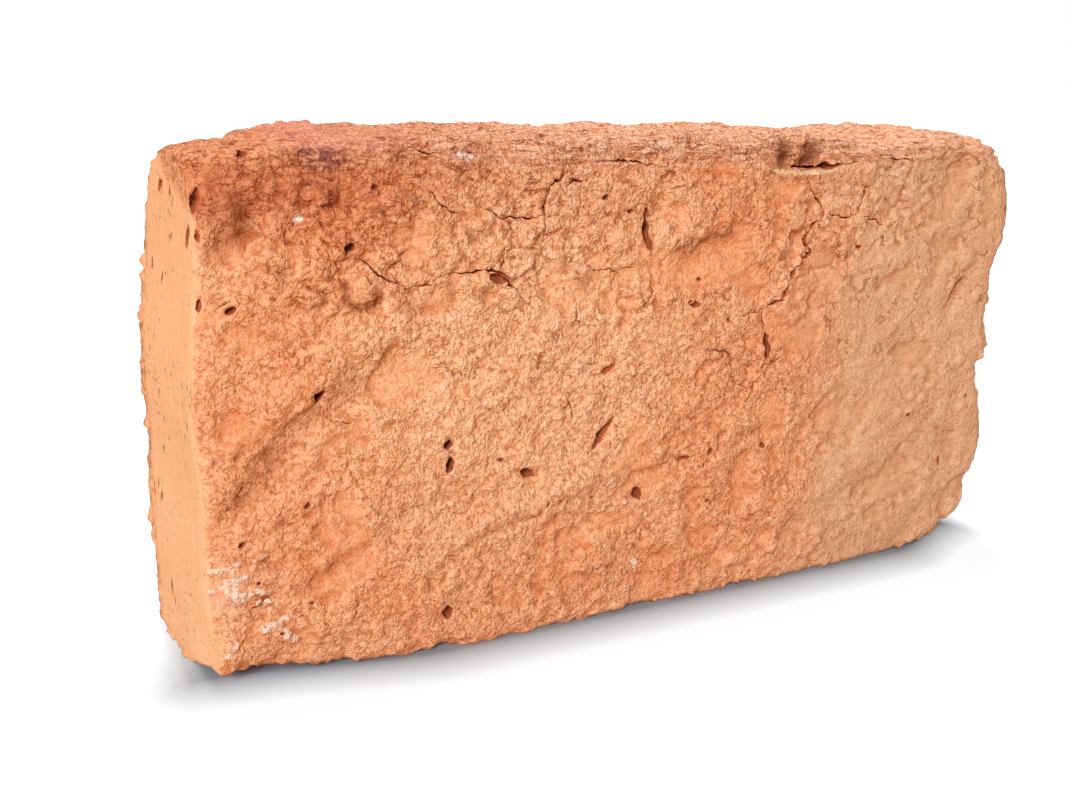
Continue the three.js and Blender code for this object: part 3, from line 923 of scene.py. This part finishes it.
# %% Cut the husk holes
# along, up, long, wide, deep and tilt: millimetres and degrees
HOLES = [
    (27, 68.3, 3.4, 2.4, 5.5, 60), (58.8, 53.3, 3.1, 2.1, 6, 80), (59.2, 48.3, 4, 2.1, 6, 72),
    (80.5, 43.3, 5, 2.6, 2, -25), (101.8, 50.6, 10.5, 1.9, 5, 50), (136, 41.9, 2.3, 1.5, 3.2, 75),
    (114.4, 32.8, 4.6, 2.8, 2, -60), (59.6, 10.4, 4.2, 2.4, 2.8, 90),
    (153.4, 69.3, 8.8, 2.2, 7, 96), (112.5, 101.9, 11.5, 3.2, 8, 99), (102.6, 67.6, 5, 2, 1.2, 40),
    (34, 100.9, 3.2, 2.4, 2.6, 70), (7.7, 88.9, 2.6, 1.8, 2.4, 30), (11.3, 121, 2.8, 1.8, 2, 20),
    (43.1, 124, 2.4, 1.6, 2, 0), (154.3, 41.3, 1.9, 1.6, 2.6, 20), (208.6, 44, 1.6, 1.2, 1.8, 40),
    (224, 27.8, 2.8, 1.2, 1.6, 110), (99.1, 110.3, 1.7, 1.3, 2, 30), (106.8, 106.6, 2, 1.3, 2, 10),
    (182.6, 94.5, 2, 1.2, 1.8, 0), (128, 82.3, 2.6, 1.8, 1.8, 0), (129.2, 88.6, 1.3, 1.1, 1.6, 0),
    (73, 47.6, 1.4, 1, 1.6, 0), (86.2, 34.6, 1.3, 0.9, 1.8, 80), (136.6, 28, 1.4, 1.1, 1.8, 0),
    (100, 33.8, 1, 0.9, 1.4, 0), (126.5, 83, 1.2, 1, 1.2, 0), (139.4, 77.4, 1.6, 1, 1.4, 90),
    (71.2, 92.3, 5.4, 3.4, 1.8, -15), (128, 41, 3, 1.4, 1.6, 15), (222.2, 79.6, 13, 1.6, 2.4, 62),
    (8.6, 36.5, 2, 1.2, 1.8, 20), (24, 43.4, 2.2, 1.2, 1.6, 60), (17.6, 13.4, 1.2, 0.9, 1.5, 0),
    (12.4, 26.7, 0.9, 0.8, 1.4, 0), (24.7, 19.7, 0.9, 0.8, 1.4, 0), (1.3, 111.6, 5, 1.8, 2.6, 80),
    (1.5, 104.6, 2.6, 1.2, 1.6, 100), (39.7, 113.9, 2.2, 1.6, 1.6, 0),
    (1.4, 90.2, 3.2, 1.2, 1.4, 85),
]
# into the brick from its bed face, up, long, wide, deep and tilt from level
HEADER_HOLES = [
    (43.5, 70.5, 4.6, 1.9, 2.4, 80), (42.4, 66.8, 2.6, 1.6, 2, 60), (41.6, 36.4, 5.6, 1.9, 2.4, 82),
    (37.5, 40, 3, 1, 1.6, 85), (34.6, 38, 2.2, 1.5, 2.4, 60), (31.4, 50.8, 1.4, 1.3, 2.4, 0),
    (43, 26, 2.8, 1.4, 2, 100), (31, 16, 4.4, 1, 1.8, 80), (29, 13, 1.8, 1, 1.6, 90),
    (24.6, 55, 1.4, 0.9, 1.4, 30), (32, 59, 1.4, 0.9, 1.4, 70), (36.5, 93.5, 3.2, 1.2, 1.6, 85),
    (27.5, 92, 3.4, 0.8, 1.2, 65), (27.4, 112, 5.2, 1.8, 2.4, 40), (19.4, 111.4, 1.8, 1, 1.4, 0),
    (6.6, 103.5, 6, 2.2, 2.4, 60), (44.4, 101, 2.4, 1, 1.2, 90),
]


def husk_cutter(place, into, long, wide, deep, tilt):
    """A dented ball at the place, long across the face and deep along the inward direction."""
    work = bmesh.new()
    bmesh.ops.create_icosphere(work, subdivisions=3, radius=1.0)
    up = Vector((0.0, 0.0, 1.0))
    facing = Matrix((into.cross(up), into, up)).transposed().to_4x4()
    spin = Matrix.Rotation(math.radians(-tilt), 4, into) @ facing
    for vert in work.verts:
        dent = 0.24 * noise.noise(vert.co * 1.5 + place * 900.0)
        real = Vector((vert.co.x * long, vert.co.z * wide, vert.co.y * 2.0)) * 0.45
        dent += 0.42 * noise.noise(real + place * 700.0)
        vert.co *= 1.0 + dent
        blunt = vert.co * (1.0 - 0.22 * abs(vert.co.x * vert.co.z))
        vert.co = Vector((blunt.x * long / 2, blunt.y * deep, blunt.z * wide / 2)) * MM
    work.transform(Matrix.Translation(place) @ spin)
    sink(work, place, into)
    return work


skin = clay_tree(brick)
husks = [husk_cutter(mouth(skin, x, z), INTO_BED, *size) for x, z, *size in HOLES]
for y, z, *size in HEADER_HOLES:
    outside = Vector((-LENGTH, y - THICKNESS / 2, z)) * MM
    husks.append(husk_cutter(skin.ray_cast(outside, INTO_HEADER)[0], INTO_HEADER, *size))
brick = cut(brick, "husk holes", husks)

# %% [markdown]
# ## The straw cleft
#
# One straw lay just under the top arris. Part of it is still there as a pale sliver, and above it
# the clay opened in a long dark cleft. The cleft is one more crack, wide and deep.

# %% Cut the cleft
CLEFT = (1.5, 6, (155, 116.9), (160, 116.5), (166, 116.4), (172.9, 117), (179, 117.5))
skin = clay_tree(brick)
brick = cut(brick, "cleft", [crack_cutter(skin, *CLEFT)])

# %% [markdown]
# ## Back into the box
#
# The skin may not stand out of the solid's box, so each corner that strays is moved back to its
# side.

# %% Settle the clay inside its box
for vert in brick.data.vertices:
    for axis in range(3):
        vert.co[axis] = min(max(vert.co[axis], low[axis]), high[axis])
brick.data.materials.clear()
brick.data.materials.append(fired_clay)
for polygon in brick.data.polygons:
    polygon.use_smooth = True
for name in DEPTHS:
    depths = sorted(item.value for item in brick.data.attributes[name].data)
    print(name, [round(depths[int(len(depths) * q)], 2) for q in (0, 0.05, 0.5, 0.95, 0.999)], "mm")

# %% [markdown]
# ## Fired clay
#
# Iron in the clay turns it orange where the kiln had air, and tan where it had less. Salts leave
# the rubbed header pale. The colour is mottled at several sizes, with painted shade that makes it
# darker and redder in the hollows and a painted highlight that makes it paler on the grains. Grain
# finer than half a millimetre is left to a bump, because no mesh needs to hold it.

# %% Colours


def srgb(red, green, blue):
    """A colour as a screen shows it, from 0 to 255, as the linear numbers that a shader takes."""
    return tuple(
        c / 12.92 if c <= 0.04045 else ((c + 0.055) / 1.055) ** 2.4
        for c in (red / 255, green / 255, blue / 255)
    ) + (1.0,)


def mixed(share, first, second, blend="MIX"):
    """first where share is 0 and second where it is 1."""
    node = share.tree.nodes.new("ShaderNodeMix")
    node.data_type = "RGBA"
    node.blend_type = blend
    share.tree.links.new(share.socket, node.inputs[0])
    for socket, value in ((node.inputs[6], first), (node.inputs[7], second)):
        if isinstance(value, Wire):
            share.tree.links.new(value.socket, socket)
        else:
            socket.default_value = value
    return Wire(share.tree, node.outputs[2])


def coated(colour, *coats):
    """The colour under a row of coats, each a share and the colour it shows on a screen."""
    for share, *shown in coats:
        colour = mixed(share, colour, srgb(*shown))
    return colour


def deepened(colour, *depths):
    """The colour times the three factors of each row, as far as the row's share is 1."""
    for share, *factors in depths:
        colour = mixed(share, colour, (*factors, 1.0), "MULTIPLY")
    return colour


# %% [markdown]
# ## Coats of colour
#
# One noise never looks like fired clay. The colour is laid on in thin coats instead, as a glaze is,
# each with its own share: a mask kept on the mesh, a depth, or a noise of its own size.

# %% The clay material
BUMP_STRENGTH = 0.85


def top_colour(place, face):
    """The long top: paler away from the header, with flecks of light and of torn, dark clay."""
    top = mixed(face.x.between(10, 110), srgb(218, 142, 98), srgb(236, 176, 140))
    fleck = mottle(stirred(place, 3, 0.8, 2), 1.3, 2, 0.7, 23, (3, 1, 0.45))
    return deepened(
        top,
        ((fleck * 8 - 0.2).clamped(), 1, 1.12, 1.2),
        ((fleck * -13 - 0.6).clamped(), 0.56, 0.3, 0.18),
    )


def header_colour(place, face):
    """The rubbed header: pale, paler still low down, and burnt in patches along its back."""
    rubbed = (mottle(place, 7, 4, 0.7, 31, (1, 1, 2.5)) * 2 + 0.5).clamped()
    burnt = (mottle(place, 5, 3, 0.6, 33) * 5 + 0.5).clamped() * face.y.between(19, 24)
    return coated(
        mixed(rubbed, srgb(243, 173, 121), srgb(249, 188, 141)),
        (face.z.between(75, 35) * 0.7, 246, 188, 141),
        (face.y.between(14, 23) * 0.6, 224, 148, 102),
        (burnt * 0.8, 182, 92, 60),
    )


def body_colour(place, face):
    """The clay's colour: orange, tan where the kiln was short of air, a pool of painted light that
    makes the middle of the bed face paler, and the pale header.
    """
    patches = (mottle(place, 26, 3, 0.55, 1) * 2.4 + 0.5).clamped()
    orange = mixed(patches, srgb(238, 155, 106), srgb(244, 176, 130))
    tan = mixed(patches, srgb(218, 161, 121), srgb(224, 171, 133))
    # painted light: a pale pool in the middle of the bed face
    pale = (blot(place, 82, 72, 68, 60) * 1.5).clamped() * (1 - face.calm) * face.front
    reach = face.x.between(64, 22) * 0.5 + face.x.between(104, 64) * 0.15
    colour = coated(
        mixed(face.calm, orange, tan),
        (pale * 0.75, 252, 189, 142),
        (face.z.between(98, 114) * reach * face.front, 196, 100, 58),
    )
    colour = mixed(face.top * 0.9, colour, top_colour(place, face))
    return mixed(face.header, colour, header_colour(place, face))


def stained(place, face, colour):
    """The colour with smoke stains, lime, the straw and white pebbles."""
    rim = mottle(place, 3, 3, 0.65, 3)
    specks = mottle(place, 1.1, 2, 0.7, 7)
    smoke = (blot(place, 28, 120, 11, 5, -12) * 1.6 + rim * 2.5 + specks * 6 - 0.9).clamped()
    blush = (blot(place, 36, 124, 26, 5) * 1.2 + rim).clamped()
    pink = blot(place, 5.5, 25, 8, 7) * 0.8 + blot(place, 17, 27, 4, 4) * 0.5
    bent = stirred(place, 1.2, 0.5, 1)
    dots = [off_stroke(bent, [(x, z), (x + 0.6, z)]).between(1.1, 0.4) for x, z in CHALK]
    return coated(
        colour,
        (smoke * 0.85, 98, 46, 50),
        (blush * 0.35, 214, 138, 122),
        (pink.clamped() * 0.5 * face.front, 240, 176, 146),
        (lime_cover(place, face) * 0.78, 240, 212, 190),
        ((face.straw - rim * 0.8).between(1.36, 1.6), 228, 188, 140),
        (most(dots) * face.front * 0.85, 246, 226, 204),
    )


def clay_colour(place, face, marks, grain):
    """The colour of the clay at a place; marks are the cranny, hollow and cut attributes.
    It holds painted shade in hollows, crannies and cut walls, and painted highlights on the grain.
    """
    cranny, hollow, cut_walls = marks
    rough = 1 - face.header
    # how strongly the painted highlights and painted shade of the grain show
    grain_light_and_shade = rough * (1 - face.calm * 0.5) * (0.65 + face.crust * 0.35)
    colour = deepened(
        body_colour(place, face),
        # painted shade: the smooth patches, sunk below the crust, made a little darker
        ((1 - face.crust) * rough, 0.96, 0.9, 0.85),
        # painted highlight: the tops of the fine grain made paler
        (((grain - 0.36) * 2.6).clamped() * grain_light_and_shade, 1, 1.28, 1.5),
        # painted shade: the valleys of the fine grain made darker and redder
        (((0.25 - grain) * 7).clamped() * grain_light_and_shade, 0.76, 0.58, 0.45),
        # painted shade: crannies and hollows made darker and redder as they deepen
        ((cranny * 5).clamped(), 0.8, 0.64, 0.52),
        (hollow.clamped() * 0.5 * rough, 0.86, 0.76, 0.68),
        # painted shade: streaks in the slots, nicks and dents, along the furrow and under ledges
        # and lumps
        (face.dusk, 0.42, 0.28, 0.2),
        (hairlines(place, face), 0.55, 0.34, 0.24),
        (lines(place, face), 0.5, 0.28, 0.2),
        (pits(place, face), 0.6, 0.38, 0.28),
    )
    # painted shade: the walls of cracks, holes and the cleft made darker and redder the deeper they
    # lie
    inside = mixed(hollow.between(0.2, 2.2), srgb(186, 84, 40), srgb(112, 44, 18))
    return stained(place, face, mixed(cut_walls * 0.9, colour, inside))


def hairlines(place, face):
    """Short shrinkage cracks as thin as hairs, round the lumps of the crust."""
    ragged = stirred(place, 2.6, 0.9, 8)
    thin = mottle(ragged, 7, 2, 0.55, 41).maths("ABSOLUTE").between(0.02, 0.006)
    patchy = (mottle(place, 6, seed=51) + face.plated * 0.12 - 0.01).between(0, 0.05)
    high = 0.3 + face.z.between(45, 80) * 0.5
    return thin * patchy * face.crust * face.front * (1 - face.header) * high


def lines(place, face):
    """Thin dark lines that lie level, along the top and just under the top arris."""
    stir = stirred(place, 4, 0.8, 6)
    thin = mottle(stir, 1.5, 1, 0.5, 9, (5, 3, 1)).maths("ABSOLUTE").between(0.045, 0)
    patchy = mottle(place, 5, seed=17).between(-0.06, 0.06)
    left = face.z.between(103, 114) * (face.x.between(130, 80) * 0.4 + 0.6)
    return thin * patchy * left * (1 - face.header)


def pits(place, face):
    """Fine upright pits in the rubbed header, most of them toward its back."""
    near, own = cells(stirred(place, 1.5, 0.9, 2), 2, 12, (1, 1, 1.5))
    here = mottle(place, 9, 3, 0.6, 21) + face.y.between(-14, 20) * 0.16
    return (near + (1 - own) * 0.4).between(0.4, 0.22) * here.between(0, 0.12) * face.header


def fine_grain(place, face):
    """Grain too small for the mesh, from 0 to about 1: pebbles, curled worms of clay and sand."""
    stir = stirred(place, 1.6, 0.25, 3)
    worms = (1 - mottle(stir, 2.1, 1, 0.5, 11).maths("ABSOLUTE") * 8).maths("MAXIMUM", 0)
    curly = 0.35 + face.x.between(15, 70) * 0.65
    grain = pebbles(stir, 1.4, 2) * 0.5 + pebbles(stir, 0.75, 5) * 0.26 + worms * curly * 0.12
    return grain + mottle(place, 0.6, 1, 0.8, 8) * 0.8


def finish_material(material):
    material.use_nodes = True
    tree = material.node_tree
    shader = tree.nodes["Principled BSDF"]
    shader.inputs["Roughness"].default_value = 0.92
    shader.inputs["Specular IOR Level"].default_value = 0.25
    place = join(tree, "ShaderNodeTexCoord", [], 3).scaled(1.0 / MM)
    normal = join(tree, "ShaderNodeNewGeometry", [], 1)
    marks = read_back(tree, (*DEPTHS, "cut"))
    face = kept_masks(place, normal)
    grain = fine_grain(place, face)
    tree.links.new(clay_colour(place, face, marks, grain).socket, shader.inputs["Base Color"])
    busy = (0.55 + face.crust * 0.45) * (0.75 + face.x.between(20, 60) * 0.25)
    height = grain * busy * (1 - face.header * 0.7) * (1 - face.calm * 0.5)
    inputs = {"Distance": MM, "Strength": BUMP_STRENGTH, "Height": height}
    tree.links.new(join(tree, "ShaderNodeBump", inputs).socket, shader.inputs["Normal"])


finish_material(fired_clay)

# %% [markdown]
# ## Floor and light
#
# A white floor keeps the brick's soft shadow, and broad lamps stand above and to the left. The key
# lamp is cool and the light from all round is warm, so hollows turn redder as they darken, the way
# light caught in clay does. The floor adds some white of its own for the camera only, more of it
# farther from the brick, so the shadow stays close to the foot and no extra light falls on the
# clay.

# %% Floor, lamps and world
FLOOR_HALF = 6.0
SHADOW_REACH = 0.0155
FLOOR_TO_CLAY = (0.54, 0.41, 0.28, 1.0)
FLOOR_TO_CAMERA = (0.31, 0.336, 0.362, 1.0)
FLOOR_GLOW = (1.0, 1.03, 1.015, 1.0)
WHITE = (1.0, 1.0, 1.0, 1.0)
KEY_COLOUR = (0.86, 1.02, 1.18)
FILL_COLOUR = (1.0, 0.74, 0.5, 1.0)


def floor_material():
    material = bpy.data.materials.new("white_floor")
    tree = bare_tree(material)
    place = join(tree, "ShaderNodeTexCoord", [], 3)
    away = place.vectors("LENGTH")
    foot = (LENGTH / 2 * MM, THICKNESS / 2 * MM)
    x, y, _ = parts_of(place)
    worn = (x * -1).between(0.06, foot[0]) * 11 + x.between(0.088, foot[0]) * 12
    worn = worn * y.between(0, -0.01) * MM
    out_x = (x.maths("ABSOLUTE") - foot[0]).maths("MAXIMUM", 0.0)
    out_x = out_x * (x.between(0.1, 0.13) * 0.8 + 1)
    out_y = (y.maths("ABSOLUTE") - foot[1] + worn).maths("MAXIMUM", 0.0)
    beside = (out_x * out_x + out_y * out_y).maths("POWER", 0.5)
    # painted light: more white for the camera beside the header's foot, so no shadow shows to its
    # left
    lee = (x * -1).between(0.117, 0.12) * y.between(-0.03, 0.03)
    rays = join(tree, "ShaderNodeLightPath", [])
    shade = mixed(rays, FLOOR_TO_CLAY, FLOOR_TO_CAMERA)
    diffuse = join(tree, "ShaderNodeBsdfDiffuse", {"Color": shade})
    lit = (beside / SHADOW_REACH).clamped().maths("POWER", 0.8)
    light = away.between(0.2, 0.7) * 0.8 + lit * 0.7 + lee * 0.75
    glow = join(tree, "ShaderNodeEmission", {"Color": FLOOR_GLOW, "Strength": light})
    shown = join(tree, "ShaderNodeMixShader", [rays, None, glow])
    both = join(tree, "ShaderNodeAddShader", [diffuse, shown])
    lead_out(both, "ShaderNodeOutputMaterial")
    return material


def add_floor():
    mesh = bpy.data.meshes.new("floor")
    half = FLOOR_HALF
    corners = [(-half, -half, 0), (half, -half, 0), (half, half, 0), (-half, half, 0)]
    mesh.from_pydata(corners, [], [(0, 1, 2, 3)])
    mesh.materials.append(floor_material())
    floor = placed("floor", mesh)


def add_lamp(name, place, size, power, colour=EVEN):
    """A square soft lamp that faces the middle of the brick."""
    lamp = placed(name, bpy.data.lights.new(name, "AREA"))
    having(lamp.data, size=size, energy=power, color=colour)
    lamp.location = place
    aim = Vector((0.0, 0.0, HEIGHT / 2 * MM)) - lamp.location
    lamp.rotation_euler = aim.to_track_quat("-Z", "Y").to_euler()


def lit_world(colour, strength):
    world = bpy.data.worlds.new("studio")
    scene.world = world
    tree = bare_tree(world)
    dim = join(tree, "ShaderNodeBackground", {"Color": colour, "Strength": strength})
    bright = join(tree, "ShaderNodeBackground", {"Color": WHITE, "Strength": 1.0})
    both = join(tree, "ShaderNodeMixShader", [join(tree, "ShaderNodeLightPath", []), dim, bright])
    lead_out(both, "ShaderNodeOutputWorld")


add_floor()
add_lamp("key", (-1.44, -1.67, 1.08), size=0.7, power=58.0, colour=KEY_COLOUR)
add_lamp("top", (0.02, 0.30, 0.9), size=0.5, power=5.0)
lit_world(FILL_COLOUR, strength=0.465)
scene.view_settings.view_transform = "Standard"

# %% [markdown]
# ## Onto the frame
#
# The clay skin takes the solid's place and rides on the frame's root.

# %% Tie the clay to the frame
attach(brick, "root")
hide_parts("brick")
